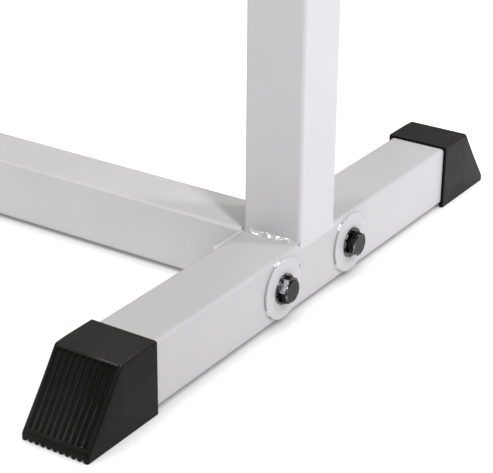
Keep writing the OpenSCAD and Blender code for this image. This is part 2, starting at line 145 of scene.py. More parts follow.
def add_floor():
    """Pale floor that glows, as a light table does, brighter towards the back; where things stand its glow is
    darkened as a painted contact shadow.
    """
    mesh = bpy.data.meshes.new("floor")
    corners = [(x * FLOOR_HALF, y * FLOOR_HALF, 0) for x, y in ((-1, -1), (1, -1), (1, 1), (-1, 1))]
    mesh.from_pydata(corners, [], [(0, 1, 2, 3)])
    floor = bpy.data.objects.new("floor", mesh)
    bpy.context.collection.objects.link(floor)
    n = Nodes("floor", Base_Color=(0.12, 0.12, 0.12, 1), Roughness=0.9, Specular_IOR_Level=0.0)
    near = n.add("ShaderNodeAmbientOcclusion", samples=24)
    near.inputs["Distance"].default_value = 0.028
    # Painted contact shadow: the floor's glow is darkened where ambient occlusion finds things near.
    shaded = n.ramp(near.outputs["AO"], 0.17, 1.0, 0.14, 0.78)
    across = n.add("ShaderNodeSeparateXYZ")
    n.link(n.place, across.inputs["Vector"])
    brighter = n.ramp(across.outputs["Y"], FLOOR_GLOW_FRONT, FLOOR_GLOW_BACK, -0.32, 0.45)
    n.link(n.math("MULTIPLY", shaded, brighter), n.shader.inputs["Emission Strength"])
    n.shader.inputs["Emission Color"].default_value = (1, 1, 1, 1)
    mesh.materials.append(n.material)


# ---- material helpers ----

class Nodes:
    """A material with a Principled shader, and short calls to add nodes to it."""

    def __init__(self, name, **sockets):
        self.material = bpy.data.materials.new(name)
        self.material.use_nodes = True
        self.tree = self.material.node_tree
        self.shader = self.tree.nodes["Principled BSDF"]
        for key, value in sockets.items():
            self.shader.inputs[key.replace("_", " ")].default_value = value
        self.place = self.add("ShaderNodeTexCoord").outputs["Object"]

    def add(self, kind, **values):
        made = self.tree.nodes.new(kind)
        for key, value in values.items():
            setattr(made, key, value)
        return made

    def link(self, output, target):
        self.tree.links.new(output, target)

    def noise(self, scale, detail, roughness=0.5, stretch=None):
        made = self.add("ShaderNodeTexNoise")
        made.inputs["Scale"].default_value = scale
        made.inputs["Detail"].default_value = detail
        made.inputs["Roughness"].default_value = roughness
        source = self.place
        if stretch:
            mapping = self.add("ShaderNodeMapping")
            mapping.inputs["Scale"].default_value = stretch
            self.link(source, mapping.inputs["Vector"])
            source = mapping.outputs["Vector"]
        self.link(source, made.inputs["Vector"])
        return made.outputs["Fac"]

    def ramp(self, value, low, high, start=0.3, end=0.7):
        """Maps a value to a range between two colours or two numbers."""
        if isinstance(low, (int, float)):
            made = self.add("ShaderNodeMapRange")
            made.inputs["From Min"].default_value = start
            made.inputs["From Max"].default_value = end
            made.inputs["To Min"].default_value = low
            made.inputs["To Max"].default_value = high
            self.link(value, made.inputs["Value"])
            return made.outputs["Result"]
        made = self.add("ShaderNodeValToRGB")
        made.color_ramp.elements[0].position = start
        made.color_ramp.elements[0].color = (*low, 1)
        made.color_ramp.elements[1].position = end
        made.color_ramp.elements[1].color = (*high, 1)
        self.link(value, made.inputs["Fac"])
        return made.outputs["Color"]

    def mix(self, factor, first, second):
        """Blends two colour outputs or colours by a factor output."""
        made = self.add("ShaderNodeMix", data_type="RGBA")
        self.link(factor, made.inputs["Factor"])
        for key, value in (("A", first), ("B", second)):
            socket = [s for s in made.inputs if s.name == key and s.type == "RGBA"][0]
            if isinstance(value, tuple):
                socket.default_value = (*value, 1)
            else:
                self.link(value, socket)
        return [s for s in made.outputs if s.type == "RGBA"][0]

    def math(self, operation, first, second):
        """Result of one operation on outputs or numbers."""
        made = self.add("ShaderNodeMath", operation=operation)
        for i, value in enumerate((first, second)):
            if isinstance(value, (int, float)):
                made.inputs[i].default_value = value
            else:
                self.link(value, made.inputs[i])
        return made.outputs["Value"]

    def crevice(self, reach, start, end):
        """0 in tight corners, 1 on open surfaces."""
        made = self.add("ShaderNodeAmbientOcclusion", samples=6)
        made.inputs["Distance"].default_value = reach
        return self.ramp(made.outputs["AO"], 0.0, 1.0, start, end)

    def facing(self, way, start, end):
        """1 on surfaces that face one way."""
        dot = self.add("ShaderNodeVectorMath", operation="DOT_PRODUCT")
        self.link(self.add("ShaderNodeNewGeometry").outputs["True Normal"], dot.inputs[0])
        dot.inputs[1].default_value = way
        return self.ramp(dot.outputs["Value"], 0.0, 1.0, start, end)

    def edges(self, reach, start, end):
        """1 along sharp edges, 0 on flats; start and end are cosines of the bend."""
        bevel = self.add("ShaderNodeBevel", samples=4)
        bevel.inputs["Radius"].default_value = reach
        dot = self.add("ShaderNodeVectorMath", operation="DOT_PRODUCT")
        self.link(self.add("ShaderNodeNewGeometry").outputs["True Normal"], dot.inputs[0])
        self.link(bevel.outputs["Normal"], dot.inputs[1])
        return self.ramp(dot.outputs["Value"], 0.0, 1.0, start, end)

    def along_raw(self, axis):
        """Position along one axis of the shared frame."""
        split = self.add("ShaderNodeSeparateXYZ")
        self.link(self.place, split.inputs["Vector"])
        return split.outputs[axis]

    def along(self, axis, start, end):
        """0 before start and 1 past end along one axis."""
        return self.ramp(self.along_raw(axis), 0.0, 1.0, start, end)

    def upward(self, start, end):
        """1 on surfaces that face up, 0 on sides and undersides."""
        split = self.add("ShaderNodeSeparateXYZ")
        self.link(self.add("ShaderNodeNewGeometry").outputs["Normal"], split.inputs["Vector"])
        return self.ramp(split.outputs["Z"], 0.0, 1.0, start, end)

    def colour(self, output):
        self.link(output, self.shader.inputs["Base Color"])

    def roughness(self, output):
        self.link(output, self.shader.inputs["Roughness"])

    def bump(self, height, distance, strength=1.0, round_edge=0.0):
        """Adds a bump of that height in metres over the last one, on rounded edges if asked."""
        made = self.add("ShaderNodeBump")
        made.inputs["Strength"].default_value = strength
        made.inputs["Distance"].default_value = distance
        self.link(height, made.inputs["Height"])
        before = self.shader.inputs["Normal"].links
        if before:
            self.link(before[0].from_socket, made.inputs["Normal"])
        elif round_edge:
            edge = self.add("ShaderNodeBevel", samples=6)
            edge.inputs["Radius"].default_value = round_edge
            self.link(edge.outputs["Normal"], made.inputs["Normal"])
        self.link(made.outputs["Normal"], self.shader.inputs["Normal"])


# ---- materials ----

def shade(colour, tone):
    """The colour made lighter or darker."""
    return tuple(tone * v for v in colour)


def make_paint(name, tone=1.0, gloss=(0.30, 0.42), painted_corner_shade=(0.003, 0.40, 0.08, 0.42), painted_near_end_shade=False,
               gloss_level=0.45, round_edge=0.0006):
    """White powder coat: faint orange peel, cloudy gloss and a little dust, with painted shade in tight
    corners and, if asked, towards the near end.
    The corner shade is its reach, its grey, and how closed and how open a corner is where it starts and ends."""
    n = Nodes(name, Roughness=0.36, Specular_IOR_Level=gloss_level)
    cloud = n.noise(14, 3)
    dust = n.noise(220, 4, 0.65)
    base = n.ramp(cloud, shade((0.592, 0.588, 0.596), tone), shade((0.612, 0.608, 0.616), tone), 0.35, 0.65)
    # Painted shade: the paint is darker towards the near end of the foot, where the light falls off.
    if painted_near_end_shade:
        base = n.mix(n.along(1, -0.16, 0.14), shade((0.545, 0.543, 0.545), tone), base)
    dusty = n.mix(n.ramp(dust, 0.0, 0.5, 0.66, 0.78), base, shade((0.52, 0.515, 0.52), tone))
    # Painted shade: the colour turns grey in tight corners found by ambient occlusion.
    reach, grey, closed, opened = painted_corner_shade
    corner_shade_grey = shade((grey, grey, grey), 0.95 * tone)
    n.colour(n.mix(n.crevice(reach, closed, opened), corner_shade_grey, dusty))
    n.roughness(n.ramp(n.noise(60, 3), *gloss))
    n.bump(n.noise(520, 2, 0.45), 0.00006, 0.5, round_edge=round_edge)
    n.bump(n.noise(90, 2), 0.00012, 0.35)
    return n.material


def make_rubber():
    """Black moulded rubber: fine grain, dust on what faces up but kept out of grooves and tight corners,
    which leaves them darker as painted shade, and a slope polished on its outer side.
    """
    n = Nodes("cap_rubber", Specular_IOR_Level=0.11)
    grain = n.noise(1500, 3, 0.6)
    bloom = n.noise(30, 4, 0.6)
    clean = n.mix(n.ramp(bloom, 0.0, 1.0, 0.35, 0.75), (0.0022, 0.0022, 0.0020), (0.0042, 0.0042, 0.0040))
    dust = n.math("MULTIPLY", n.upward(0.28, 0.97), n.ramp(n.noise(45, 4, 0.65), 0.75, 1.0))
    # Painted shade: no dust in grooves and tight corners, so they stay darker.
    dust = n.math("MULTIPLY", dust, n.crevice(0.005, 0.42, 0.80))
    n.colour(n.mix(dust, clean, (0.031, 0.0305, 0.029)))
    outer = n.ramp(n.math("ABSOLUTE", n.along_raw(0), 0.0), 0.0, 1.0, LEG_X, LEG_X + 14 * MM)
    slope = n.math("SUBTRACT", n.upward(0.25, 0.40), n.upward(0.66, 0.80))
    polish = n.ramp(n.math("MULTIPLY", outer, slope), 0.42, 0.14, 0.0, 1.0)
    n.roughness(n.math("ADD", polish, n.ramp(n.noise(120, 3), -0.03, 0.05)))
    n.bump(grain, 0.00006, 0.3)
    n.bump(n.noise(160, 2), 0.0002, 0.12)
    return n.material


def make_black_steel(name="black_oxide_steel", bright=1.0):
    """Blackened steel: glossy, with forging marks; bright bare steel painted on facets that face one way, as
    a painted glint, and along edges, partly rubbed wear and partly painted glints.
    """
    n = Nodes(name, Metallic=1.0)
    marks = n.noise(420, 4, 0.6)
    deep = shade((0.006, 0.006, 0.006), bright)
    raised = shade((0.050, 0.046, 0.044), bright)
    dark = n.ramp(marks, deep, raised, 0.40, 0.80)
    patchy = n.ramp(n.noise(700, 3, 0.6), 0.15, 1.0, 0.44, 0.52)
    # Painted glint: bright bare steel on the facets that face up and towards the front.
    painted_glint_facets = n.math("MULTIPLY", n.facing((0, -0.766, 0.643), 0.985, 0.997), patchy)
    # Bright edges: partly rubbed wear, partly painted glints.
    edge_wear_and_glints = n.math("MULTIPLY", n.edges(0.0012, 0.985, 0.90), n.ramp(n.noise(240, 3), 0.0, 0.8, 0.47, 0.62))
    n.colour(n.mix(n.math("MAXIMUM", painted_glint_facets, edge_wear_and_glints), dark, (0.86, 0.87, 0.88)))
    n.roughness(n.ramp(n.noise(260, 3), 0.10, 0.24))
    n.bump(marks, 0.0004, 0.6, round_edge=0.0005)
    return n.material


def make_zinc():
    """Bright zinc plate with turning marks and spangle."""
    n = Nodes("zinc_plate", Metallic=1.0)
    spangle = n.noise(140, 3, 0.6)
    n.colour(n.ramp(spangle, (0.48, 0.49, 0.51), (0.66, 0.66, 0.66), 0.3, 0.7))
    n.roughness(n.ramp(n.noise(500, 3), 0.22, 0.40))
    n.bump(n.noise(60, 2, stretch=(40, 1, 1)), 0.00005, 0.5, round_edge=0.0004)
    return n.material


def make_spring_steel():
    """Drawn spring wire, grey and slightly uneven."""
    n = Nodes("spring_wire", Metallic=1.0)
    drawn = n.noise(700, 3, 0.6)
    n.colour(n.ramp(drawn, (0.22, 0.22, 0.23), (0.42, 0.42, 0.43)))
    n.roughness(n.ramp(drawn, 0.25, 0.45))
    n.bump(drawn, 0.00003, 0.5)
    return n.material


def make_nylon():
    """Black moulded nylon with a fine spark-eroded texture."""
    n = Nodes("black_nylon", Specular_IOR_Level=0.45)
    spark = n.noise(900, 4, 0.7)
    n.colour(n.ramp(n.noise(50, 3), (0.018, 0.019, 0.020), (0.030, 0.031, 0.032)))
    n.roughness(n.ramp(spark, 0.36, 0.55))
    n.bump(spark, 0.00006, 0.6, round_edge=0.0008)
    return n.material


def make_wood():
    """Planed laminated softwood with growth rings drawn out along the beam."""
    n = Nodes("laminated_pine", Specular_IOR_Level=0.3)
    grain = n.noise(60, 6, 0.6, stretch=(0.04, 1, 1))
    fibre = n.noise(900, 3, 0.6, stretch=(0.03, 1, 1))
    base = n.ramp(grain, (0.62, 0.43, 0.24), (0.46, 0.27, 0.12), 0.35, 0.62)
    n.colour(n.mix(n.ramp(fibre, 0.0, 0.35, 0.5, 0.8), base, (0.30, 0.17, 0.08)))
    n.roughness(n.ramp(grain, 0.55, 0.75))
    n.bump(fibre, 0.0002, 0.5)
    return n.material


def make_foam():
    """Closed-cell foam: small round cells in the skin."""
    n = Nodes("closed_cell_foam", Specular_IOR_Level=0.3)
    cells = n.add("ShaderNodeTexVoronoi")
    cells.inputs["Scale"].default_value = 700
    n.link(n.place, cells.inputs["Vector"])
    n.colour(n.ramp(cells.outputs["Distance"], (0.34, 0.43, 0.52), (0.48, 0.57, 0.65), 0.1, 0.7))
    n.roughness(n.ramp(n.noise(200, 2), 0.75, 0.9))
    n.bump(cells.outputs["Distance"], 0.0002, 0.7)
    return n.material


def make_suede():
    """Synthetic suede: short nap brushed this way and that, with chalk rubbed in here and there."""
    n = Nodes("brushed_suede", Specular_IOR_Level=0.2, Sheen_Weight=0.35, Sheen_Roughness=0.45)
    n.shader.inputs["Sheen Tint"].default_value = (0.95, 0.78, 0.6, 1)
    brushed = n.noise(7, 3, 0.5)
    nap = n.noise(1300, 4, 0.7)
    dark = (0.43, 0.29, 0.175)
    light = (0.50, 0.35, 0.22)
    base = n.mix(n.ramp(brushed, 0.0, 1.0, 0.38, 0.62), dark, light)
    fibres = n.mix(n.ramp(nap, 0.0, 0.45, 0.45, 0.72), base, shade(dark, 0.55))
    patches = n.ramp(n.noise(5, 5, 0.7), 0.0, 0.30, 0.5, 0.75)
    chalk = n.math("MULTIPLY", patches, n.ramp(n.noise(300, 2), 0.3, 1.0))
    n.colour(n.mix(chalk, fibres, (0.72, 0.66, 0.58)))
    n.roughness(n.ramp(nap, 0.82, 0.98))
    n.bump(nap, 0.0004, 0.6)
    n.bump(n.noise(120, 3), 0.0006, 0.25)
    return n.material


def make_thread():
    """Waxed sewing thread, twisted."""
    n = Nodes("sewing_thread", Specular_IOR_Level=0.3)
    twist = n.noise(2500, 2, 0.5)
    n.colour(n.ramp(twist, (0.62, 0.50, 0.34), (0.78, 0.66, 0.48)))
    n.roughness(n.ramp(twist, 0.5, 0.7))
    n.bump(twist, 0.0001, 0.6)
    return n.material


MATERIALS = {
    "white_paint": make_paint("white_powder_coat"),
    "cap_rubber": make_rubber(),
    "black_steel": make_black_steel(),
    "zinc_steel": make_zinc(),
    "spring_steel": make_spring_steel(),
    "black_nylon": make_nylon(),
    "wood": make_wood(),
    "foam": make_foam(),
    "suede": make_suede(),
}
# The foot and disc paints are darker-toned copies of the same powder coat, as painted shade; the disc's
# painted corner shade reaches further and is darker.
FOOT_PAINT = make_paint("white_powder_coat_foot", 0.90, painted_near_end_shade=True)
WELD_PAINT = make_paint("white_powder_coat_weld", 0.94, (0.06, 0.15), (0.002, 0.50, 0.05, 0.30),
                        gloss_level=0.85, round_edge=0.0)
DISC_PAINT = make_paint("white_powder_coat_disc", 0.91, painted_corner_shade=(0.007, 0.20, 0.25, 0.75))
# The washers: the same blackened steel, made 2.8 times paler.
WASHER_STEEL = make_black_steel("paler_washer_steel", 2.8)
THREAD = make_thread()


def dress_cad_nodes():
    """Gives every CAD node the material of its record slot, or a variant where it looks different."""
    for entry in frame["record"]["subparts"]:
        obj = frame["nodes"][entry["node"]]
        material = MATERIALS[entry["material_slot"]]
        if entry["node"].startswith("foot_tube"):
            material = FOOT_PAINT
        if entry["node"].startswith("bolt_washers"):
            material = WASHER_STEEL
        if not obj.data.materials:
            obj.data.materials.append(material)
        for i in range(len(obj.data.materials)):
            obj.data.materials[i] = material


# ---- mesh helpers ----

def add_piece(name, mesh, body, material, replaces=()):
    """Links a mesh as a piece of the object, riding on a body, with one material, and hides the CAD parts it
    replaces.
    """
    piece = bpy.data.objects.new(name, mesh)
    bpy.context.collection.objects.link(piece)
    mesh.materials.clear()
    mesh.materials.append(material)
    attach(piece, body)
    if replaces:
        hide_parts(*replaces)
    return piece


def mesh_from(name, bm, smooth_angle=None):
    """Turns a bmesh into a mesh, smooth but for edges sharper than the angle, or flat if none is given."""
    mesh = bpy.data.meshes.new(name)
    bmesh.ops.recalc_face_normals(bm, faces=bm.faces)
    bm.to_mesh(mesh)
    bm.free()
    if smooth_angle is None:
        return mesh
    for face in mesh.polygons:
        face.use_smooth = True
    if smooth_angle < 180:
        mesh.set_sharp_from_angle(angle=math.radians(smooth_angle))
    return mesh


# ---- foot caps ----

CAP_MOUTH = 75.5 * MM
CAP_BROW = 37.0 * MM
CAP_TOE_H = 7.4 * MM
CAP_GRIP = 34.0 * MM
RIB_PITCH = 5.04 * MM
RIB_COUNT = 10
RIB_DEPTH = 2.0 * MM
RIB_STEPS = 12
BORDER_STEP = 0.25 * MM
SOLE_DEPTH = 2.9 * MM
SOLE_CREST = -0.3 * MM
TOE_PLAN_R = 1.2 * MM
BROW_BLEND = 0.9 * MM
SOLE_EDGE_R = 0.7 * MM
BORE_R = 3.0 * MM
BORE_GAP = 0.1 * MM


def fillet(value, low, high, reach):
    """Smooth step from low to high while value goes from 0 to reach."""
    t = min(1.0, max(0.0, value / reach))
    return low + (high - low) * t * t * (3 - 2 * t)


def cap_section(y, half_w, height):
    """Outline of the cap across the tube at y, measured back from the toe; the toe's corners are rounded."""
    if y < TOE_PLAN_R:
        half_w -= TOE_PLAN_R - math.sqrt(TOE_PLAN_R ** 2 - (TOE_PLAN_R - y) ** 2)
    slope = (height - CAP_TOE_H) / CAP_BROW
    top = min(height, CAP_TOE_H + slope * y)
    off = abs(y - CAP_BROW)
    if off < BROW_BLEND:
        top -= slope * (BROW_BLEND - off) ** 2 / (4 * BROW_BLEND)
    corner = fillet(CAP_BROW + 14 * MM - y, 1.5 * MM, 4.8 * MM, 34 * MM)
    corner = min(corner, top - 1.6 * MM)
    foot = SOLE_EDGE_R
    outline = []
    for cx, cz, r, start in ((half_w - foot, foot, foot, -90),
                             (half_w - corner, top - corner, corner, 0),
                             (corner - half_w, top - corner, corner, 90),
                             (foot - half_w, foot, foot, 180)):
        steps = 4 if r == foot else 10
        for i in range(steps + 1):
            a = math.radians(start + 90 * i / steps)
            outline.append((cx + r * math.cos(a), cz + r * math.sin(a)))
    return outline


def loft(bm, loops):
    """Joins closed loops of points with quads and closes both ends."""
    rings = [[bm.verts.new(p) for p in loop] for loop in loops]
    for one, two in zip(rings, rings[1:]):
        for i in range(len(one)):
            j = (i + 1) % len(one)
            bm.faces.new((one[i], one[j], two[j], two[i]))
    bm.faces.new(list(reversed(rings[0])))
    bm.faces.new(rings[-1])


def wave(depth, crest, sharp):
    """Ribs in section: (across, depth) points of a row of grooves; sharp squares the crests off."""
    points = []
    for i in range(RIB_COUNT * RIB_STEPS + 1):
        x = i / RIB_STEPS
        c = math.cos(2 * math.pi * x)
        rise = 0.5 - 0.5 * math.tanh(sharp * c) / math.tanh(sharp)
        points.append(((x - RIB_COUNT / 2) * RIB_PITCH, crest + depth * rise))
    return points


def cut(target, cutter_bm, name):
    """Takes a cutter's shape out of a mesh object and returns the new mesh."""
    cutter = bpy.data.objects.new(name, mesh_from(name, cutter_bm))
    bpy.context.collection.objects.link(cutter)
    modifier = target.modifiers.new(name, "BOOLEAN")
    modifier.operation = "DIFFERENCE"
    modifier.solver = "EXACT"
    modifier.object = cutter
    bpy.context.view_layer.update()
    done = bpy.data.meshes.new_from_object(target.evaluated_get(bpy.context.evaluated_depsgraph_get()))
    target.modifiers.clear()
    target.data = done
    bpy.data.objects.remove(cutter)
    return done


def make_cap_mesh():
    """One cap: mouth at y = 0, toe at y = CAP_MOUTH, floor at z = 0, middle at x = 0.
    A solid blank, with the bore for the tube, the ribs of the slope and those of the sole cut out."""
    lo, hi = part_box("foot_cap_rear_right")
    half_w = (hi.x - lo.x) / 2
    height = hi.z
    back = [0, 0.25, 0.6, 1.1, 1.8, 2.7, 3.8, 5.0, 8, 12, 17, 22, 27, 31, 34, 35.4]
    back += [35.9, 36.4, 37.0, 37.6, 38.1, 38.6, 40, 43, 47, 52, 58, 64, 70, 74.9, 75.5]
    bm = bmesh.new()
    loops = []
    for y in (b * MM for b in back):
        inset = fillet(y - CAP_MOUTH + 0.6 * MM, 0, 0.5 * MM, 0.6 * MM)
        loops.append([(x, CAP_MOUTH - y, z) for x, z in cap_section(y, half_w - inset, height - inset)])
    loft(bm, loops)
    body = bpy.data.objects.new("cap_blank", mesh_from("cap_blank", bm))
    bpy.context.collection.objects.link(body)

    bm = bmesh.new()
    r = BORE_R
    w = TUBE_W / 2 + BORE_GAP
    middle = (foot_lo.z + foot_hi.z) / 2
    ring = []
    for cx, cz, start in ((w - r, w - r, 0), (r - w, w - r, 90), (r - w, r - w, 180), (w - r, r - w, 270)):
        for i in range(7):
            a = math.radians(start + 15 * i)
            ring.append((cx + r * math.cos(a), middle + cz + r * math.sin(a)))
    loft(bm, [[(x, y, z) for x, z in ring] for y in (-5 * MM, CAP_GRIP)])
    cut(body, bm, "cap_bore")

    slope_dir = Vector((0, CAP_BROW, CAP_TOE_H - height)).normalized()
    slope_out = Vector((0, -slope_dir.z, slope_dir.y))
    brow = Vector((0, CAP_MOUTH - CAP_BROW, height))
    length = math.hypot(CAP_BROW, height - CAP_TOE_H)
    row = wave(RIB_DEPTH, BORDER_STEP, 1.0)
    bm = bmesh.new()
    loops = []
    for along, shrink in ((2.6 * MM, 0.55), (3.2 * MM, 1.0),
                          (length - 3.6 * MM, 1.0), (length - 3.0 * MM, 0.55)):
        start = brow + along * slope_dir
        loop = [start + Vector((x, 0, 0)) - shrink * d * slope_out for x, d in row]
        loop += [start + Vector((x, 0, 0)) + 4 * MM * slope_out for x in (row[-1][0], row[0][0])]
        loops.append(loop)
    loft(bm, loops)
    cut(body, bm, "cap_ribs")

    row = wave(SOLE_DEPTH, SOLE_CREST, 1.8)
    bm = bmesh.new()
    loops = []
    for y in (-1 * MM, CAP_MOUTH + 1 * MM):
        loop = [(x, y, d) for x, d in row]
        loop += [(row[-1][0], y, -3 * MM), (row[0][0], y, -3 * MM)]
        loops.append(loop)
    loft(bm, loops)
    mesh = cut(body, bm, "cap_sole")
    bpy.data.objects.remove(body)
    return mesh


def add_foot_caps():
    """The four caps, one mesh turned to face each way."""
    source = make_cap_mesh()
    for end in ENDS:
        for place in ("front", "rear"):
            node = "foot_cap_%s_%s" % (place, end)
            lo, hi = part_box(node)
            turn = Matrix.Identity(4)
            y = lo.y
            if place == "front":
                turn = Matrix.Scale(-1, 4, (0, 1, 0))
                y = hi.y
            mesh = source.copy()
            mesh.transform(Matrix.Translation(((lo.x + hi.x) / 2, y, 0)) @ turn)
            if place == "front":
                mesh.flip_normals()
            for face in mesh.polygons:
                face.use_smooth = True
            mesh.set_sharp_from_angle(angle=math.radians(38))
            add_piece("cap_%s_%s" % (place, end), mesh, "base", MATERIALS["cap_rubber"], [node])


# ---- welds ----

# Middles of the tacks in degrees round each disc, and how far round each one reaches
FRONT_TACKS = (28, 109, 211, 300)
REAR_TACKS = (42, 132, 215, 318)
TACK_SPREAD = 17
TACK_LEG = 2.0 * MM
POST_LEG = 2.6 * MM
POST_RUN = 45 * MM
# Places of the larger drops, in millimetres along the bead at the post
POST_LUMPS = (4.9, 13.5, 18.0, 24.5, 38.5)
RAIL_LEG = 3.2 * MM
RIPPLE = 3.4 * MM
BEAD_STEP = 0.45 * MM
GROUND_PROUD = 0.05 * MM


def bead(bm, stations, seed, lumps=()):
    """Weld bead along a corner; each station is corner point, two directions and leg; ends are tapered.
    Lumps are the places of larger drops, in millimetres along the bead."""
    count = len(stations)
    run = 0.0
    loops = []
    for i, (corner, a, b, leg) in enumerate(stations):
        if i:
            run += (corner - stations[i - 1][0]).length
        end = min(i, count - 1 - i) / (count - 1)
        size = leg * min(1.0, 0.45 + 6.0 * end)
        phase = (run / RIPPLE) % 1.0
        lump = noise.noise(Vector((run * 210, seed, 0.3)))
        size *= 1.0 + 0.05 * (1 - phase) ** 2 + 0.12 * lump
        size += sum(0.55 * MM * math.exp(-((run - at * MM) / (1.2 * MM)) ** 2) for at in lumps)
        shift = 0.22 * noise.noise(Vector((run * 260, seed + 7.0, 1.7))) - 0.115
        loop = [corner - 0.5 * MM * (a + b), corner + size * (1 + shift) * a - 0.4 * MM * b]
        for k in range(9):
            t = math.radians(90 * k / 8)
            bulge = 1.85 + 0.2 * noise.noise(Vector((run * 300, seed, t)))
            across = (1 + shift) * math.cos(t) ** bulge * a
            up = (1 - shift) * math.sin(t) ** bulge * b
            loop.append(corner + size * (across + up))
        loop.append(corner + size * (1 - shift) * b - 0.4 * MM * a)
        loops.append(loop)
    loft(bm, loops)


def straight_bead(bm, start, end, a, b, leg, seed, lumps=()):
    """Bead from one point to another."""
    steps = max(12, int((end - start).length / BEAD_STEP))
    bead(bm, [(start.lerp(end, i / steps), a, b, leg) for i in range(steps + 1)], seed, lumps)


def ground_weld(bm, corner, s):
    """Weld ground flush with the sides of post and foot: a thin skin over the joint, thinned at its edges."""
    proud = GROUND_PROUD
    rows = [(-4.2, -0.3), (-3.4, 0.6), (-2.4, 1.0), (0.0, 1.0), (1.6, 1.0), (2.6, 0.6), (3.2, -0.3)]
    front = [corner + Vector((s * k * proud, 0, z * MM)) for z, k in rows]
    back = [corner + Vector((-s * 0.4 * MM, 0, 3.2 * MM)), corner + Vector((-s * 2.6 * MM, 0, -0.2 * MM)),
            corner + Vector((-s * 0.4 * MM, 0, -4.2 * MM))]
    reach = TUBE_W / 2
    loops = []
    for y, k in ((-reach + 0.6 * MM, 0.0), (-reach + 1.6 * MM, 1.0),
                 (reach - 1.6 * MM, 1.0), (reach - 0.6 * MM, 0.0)):
        loops.append([p + Vector((s * (k - 1) * 1.2 * proud, y, 0)) for p in front + back])
    loft(bm, loops)


def add_welds():
    """Painted-over welds: post to foot, rail to flange, discs to foot."""
    y_axis = Vector((0, 1, 0))
    z_axis = Vector((0, 0, 1))
    for end, side in (("right", 1), ("left", -1)):
        out = Vector((side, 0, 0))
        lo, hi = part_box("post_" + end)
        middle = (lo.x + hi.x) / 2
        bm = bmesh.new()
        for s, y in ((-1, lo.y), (1, hi.y)):
            start = Vector((middle - POST_RUN / 2, y, lo.z))
            stop = start + Vector((POST_RUN, 0, 0))
            straight_bead(bm, start, stop, s * y_axis, z_axis, POST_LEG, 3 + s, POST_LUMPS)
        for s in (-1, 1):
            ground_weld(bm, Vector((middle + s * TUBE_W / 2, 0, lo.z)), s)
        add_piece("post_bead_" + end, mesh_from("post_bead_" + end, bm, 50), "base",
                  WELD_PAINT, ["post_welds_" + end])
        bm = bmesh.new()
        lo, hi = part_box("rail_welds_" + end)
        inner = hi.x if side > 0 else lo.x
        for s, y in ((-1, rail_lo.y), (1, rail_hi.y)):
            start = Vector((inner, y, lo.z))
            straight_bead(bm, start, Vector((inner, y, hi.z)), s * y_axis, -out, RAIL_LEG, 11 + s)
        add_piece("rail_bead_" + end, mesh_from("rail_bead_" + end, bm, 50), "base",
                  WELD_PAINT, ["rail_welds_" + end])
        bm = bmesh.new()
        lo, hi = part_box("bolt_discs_" + end)
        radius = (hi.z - lo.z) / 2
        face = lo.x if side > 0 else hi.x
        for s, angles in ((-1, FRONT_TACKS), (1, REAR_TACKS)):
            centre = Vector((face, s * ((hi.y - lo.y) / 2 - radius), (lo.z + hi.z) / 2))
            for angle in angles:
                stations = []
                for i in range(17):
                    t = math.radians(angle + TACK_SPREAD * (i / 16 - 0.5))
                    radial = Vector((0, math.cos(t), math.sin(t)))
                    stations.append((centre + radius * radial, radial, out, TACK_LEG))
                bead(bm, stations, angle)
        add_piece("disc_tack_" + end, mesh_from("disc_tack_" + end, bm, 50), "base",
                  WELD_PAINT, ["disc_tacks_" + end])


# ---- discs ----

DISC_BORE_R = 6.6 * MM
DISC_EDGE_R = 0.55 * MM
DISC_STEPS = 96


def lathe(bm, profile, centre, axis, start):
    """Closed ring: turns (radius, along) points about an axis."""
    side = axis.cross(start)
    rings = []
    for i in range(DISC_STEPS):
        t = 2 * math.pi * i / DISC_STEPS
        radial = math.cos(t) * start + math.sin(t) * side
        rings.append([bm.verts.new(centre + r * radial + along * axis) for r, along in profile])
    for i in range(DISC_STEPS):
        one = rings[i]
        two = rings[(i + 1) % DISC_STEPS]
        for k in range(len(profile)):
            j = (k + 1) % len(profile)
            bm.faces.new((one[k], one[j], two[j], two[k]))


def add_discs():
    """Pressed discs under the bolts, with a rounded front edge."""
    for end, side in (("right", 1), ("left", -1)):
        lo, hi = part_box("bolt_discs_" + end)
        radius = (hi.z - lo.z) / 2
        thick = hi.x - lo.x
        face = lo.x if side > 0 else hi.x
        profile = [(DISC_BORE_R, 0.0), (DISC_BORE_R, thick)]
        r = DISC_EDGE_R
        for i in range(7):
            a = math.radians(90 - 15 * i)
            profile.append((radius - r + r * math.cos(a), thick - r + r * math.sin(a)))
        profile.append((radius, 0.0))
        bm = bmesh.new()
        for s in (-1, 1):
            centre = Vector((face, s * ((hi.y - lo.y) / 2 - radius), (lo.z + hi.z) / 2))
            lathe(bm, profile, centre, Vector((side, 0, 0)), Vector((0, 1, 0)))
        name = "pressed_discs_" + end
        add_piece(name, mesh_from(name, bm, 35), "base", DISC_PAINT, ["bolt_discs_" + end])


# ---- pull pin springs ----

COIL_WIRE = 1 * MM
COIL_D = 10 * MM
COIL_TURNS = 4.5
COIL_STEPS = 126


